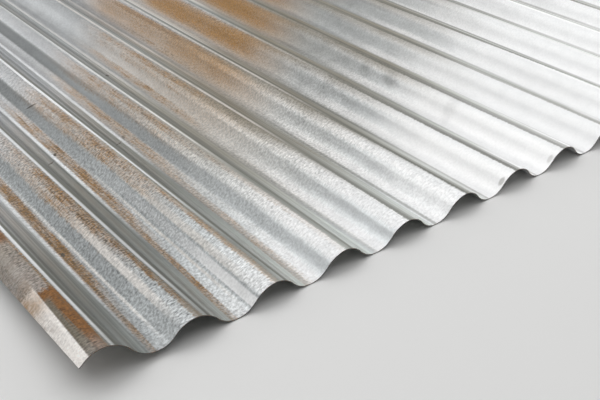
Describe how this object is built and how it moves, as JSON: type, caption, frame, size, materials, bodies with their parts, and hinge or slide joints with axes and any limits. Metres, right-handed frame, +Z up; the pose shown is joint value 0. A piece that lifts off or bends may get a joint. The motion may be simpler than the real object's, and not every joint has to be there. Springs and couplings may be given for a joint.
{
  "type": "corrugated metal sheet",
  "caption": "Galvanised steel sheet rolled into even rounded waves along its length, lying flat, with one corner sprung up and rust stains along the flanks.",
  "frame": {"origin": "centre of the sheet's length and width, on the plane that the undersides of the valleys rest on", "axes": "+Y along the waves, away from the end with the sprung corner; +X across the waves; +Z up"},
  "size_m": [1.0344, 2, 0.0334],
  "materials": {
    "galvanised_steel": "spangled zinc coating, semi-bright, with orange-brown rust stains and whitish streaks that run along the waves"
  },
  "bodies": {
    "root": {"corrugated_sheet": "galvanised_steel"}
  },
  "joints": []
}
